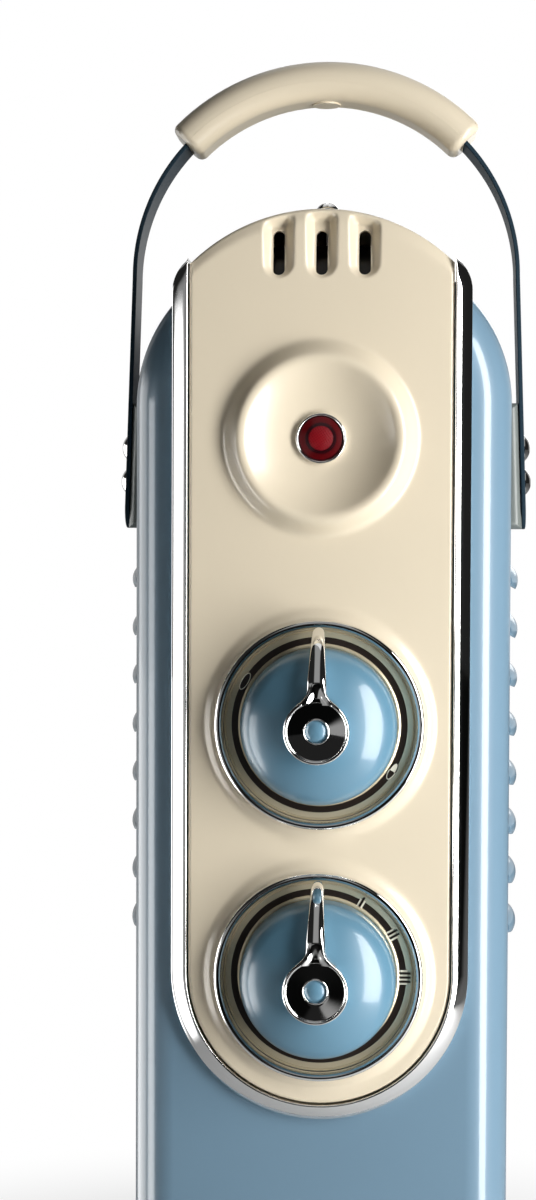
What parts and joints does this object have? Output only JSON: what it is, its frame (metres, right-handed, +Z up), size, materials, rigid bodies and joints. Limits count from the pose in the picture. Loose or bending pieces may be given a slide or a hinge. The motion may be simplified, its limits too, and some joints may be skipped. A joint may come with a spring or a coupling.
{
  "type": "oil-filled radiator",
  "caption": "Column radiator with finned oil body, rounded steel front housing, cream control panel with two dials, bow handle and swivel castors.",
  "frame": {"origin": "on the floor, under the centre of the outline at rest", "axes": "+Z up, -Y towards the control panel's front, +X to the right as seen from the front"},
  "size_m": [0.224, 0.483, 0.6995],
  "materials": {
    "fin_enamel": "baked blue enamel, semi-gloss",
    "housing_enamel": "baked blue enamel, glossy",
    "element_steel": "drawn tube, heat tinted",
    "brass": "turned",
    "zinc_steel": "bright zinc plate",
    "cream_plastic": "moulded cream, satin gloss",
    "polished_chrome": "mirror polished",
    "champagne_dial": "champagne metallic with a dark band",
    "red_lens": "translucent deep red",
    "black_plastic": "fine matt grain",
    "white_plastic": "moulded",
    "knob_plastic": "glossy blue",
    "strap_paint": "dark blue-grey, semi-gloss",
    "foot_paint": "black, satin",
    "castor_wheel": "dark grey, hard tread"
  },
  "bodies": {
    "radiator": {"fin_1": "fin_enamel", "fin_2": "fin_enamel", "fin_3": "fin_enamel", "fin_4": "fin_enamel", "fin_5": "fin_enamel", "fin_6": "fin_enamel", "fin_7": "fin_enamel", "fin_8": "fin_enamel", "fin_9": "fin_enamel", "header_caps": "fin_enamel", "front_housing": "housing_enamel", "heating_element": "element_steel", "element_plug": "brass", "back_plate": "zinc_steel", "back_plate_screws": "zinc_steel", "housing_nut": "zinc_steel", "panel_screws": "zinc_steel", "control_bracket": "zinc_steel", "control_nuts": "zinc_steel", "strap_nuts": "zinc_steel", "foot_clamps": "zinc_steel", "wing_nuts": "zinc_steel", "control_panel": "cream_plastic", "grip_upper": "cream_plastic", "grip_lower": "cream_plastic", "chrome_trim": "polished_chrome", "thermostat_bezel": "polished_chrome", "selector_bezel": "polished_chrome", "lamp_bezel": "polished_chrome", "top_screw": "polished_chrome", "strap_screws": "polished_chrome", "thermostat_dial": "champagne_dial", "selector_dial": "champagne_dial", "lamp_lens": "red_lens", "lamp_body": "black_plastic", "thermostat_body": "black_plastic", "selector_switch": "black_plastic", "thermal_cutout": "black_plastic", "cable_gland": "black_plastic", "strap_spacers": "black_plastic", "terminal_block": "white_plastic", "handle_strap": "strap_paint", "front_foot": "foot_paint", "rear_foot": "foot_paint"},
    "thermostat_control": {"thermostat_knob": "knob_plastic", "thermostat_pointer": "polished_chrome", "thermostat_cap": "knob_plastic", "thermostat_shaft": "zinc_steel"},
    "selector_control": {"selector_knob": "knob_plastic", "selector_pointer": "polished_chrome", "selector_cap": "knob_plastic", "selector_shaft": "zinc_steel"},
    "castor_1": {"castor_1_hood": "black_plastic"},
    "castor_1_wheelset": {"castor_1_wheels": "castor_wheel"},
    "castor_2": {"castor_2_hood": "black_plastic"},
    "castor_2_wheelset": {"castor_2_wheels": "castor_wheel"},
    "castor_3": {"castor_3_hood": "black_plastic"},
    "castor_3_wheelset": {"castor_3_wheels": "castor_wheel"},
    "castor_4": {"castor_4_hood": "black_plastic"},
    "castor_4_wheelset": {"castor_4_wheels": "castor_wheel"}
  },
  "joints": [
    {"name": "thermostat_turn", "type": "hinge", "parent": "radiator", "child": "thermostat_control", "pos_m": [0, -0.2095, 0.4235], "axis": [0, 1, 0], "range_deg": [-58, 135]},
    {"name": "selector_turn", "type": "hinge", "parent": "radiator", "child": "selector_control", "pos_m": [0, -0.2095, 0.3211], "axis": [0, 1, 0], "range_deg": [0, 90]},
    {"name": "castor_1_swivel", "type": "hinge", "parent": "radiator", "child": "castor_1", "pos_m": [0.098, -0.0875, 0.047], "axis": [0, 0, 1], "continuous": true},
    {"name": "castor_1_roll", "type": "hinge", "parent": "castor_1", "child": "castor_1_wheelset", "pos_m": [0.098, -0.0745, 0.02], "axis": [1, 0, 0], "continuous": true},
    {"name": "castor_2_swivel", "type": "hinge", "parent": "radiator", "child": "castor_2", "pos_m": [-0.098, -0.0875, 0.047], "axis": [0, 0, 1], "continuous": true},
    {"name": "castor_2_roll", "type": "hinge", "parent": "castor_2", "child": "castor_2_wheelset", "pos_m": [-0.098, -0.0745, 0.02], "axis": [1, 0, 0], "continuous": true},
    {"name": "castor_3_swivel", "type": "hinge", "parent": "radiator", "child": "castor_3", "pos_m": [0.098, 0.1925, 0.047], "axis": [0, 0, 1], "continuous": true},
    {"name": "castor_3_roll", "type": "hinge", "parent": "castor_3", "child": "castor_3_wheelset", "pos_m": [0.098, 0.2055, 0.02], "axis": [1, 0, 0], "continuous": true},
    {"name": "castor_4_swivel", "type": "hinge", "parent": "radiator", "child": "castor_4", "pos_m": [-0.098, 0.1925, 0.047], "axis": [0, 0, 1], "continuous": true},
    {"name": "castor_4_roll", "type": "hinge", "parent": "castor_4", "child": "castor_4_wheelset", "pos_m": [-0.098, 0.2055, 0.02], "axis": [1, 0, 0], "continuous": true}
  ]
}
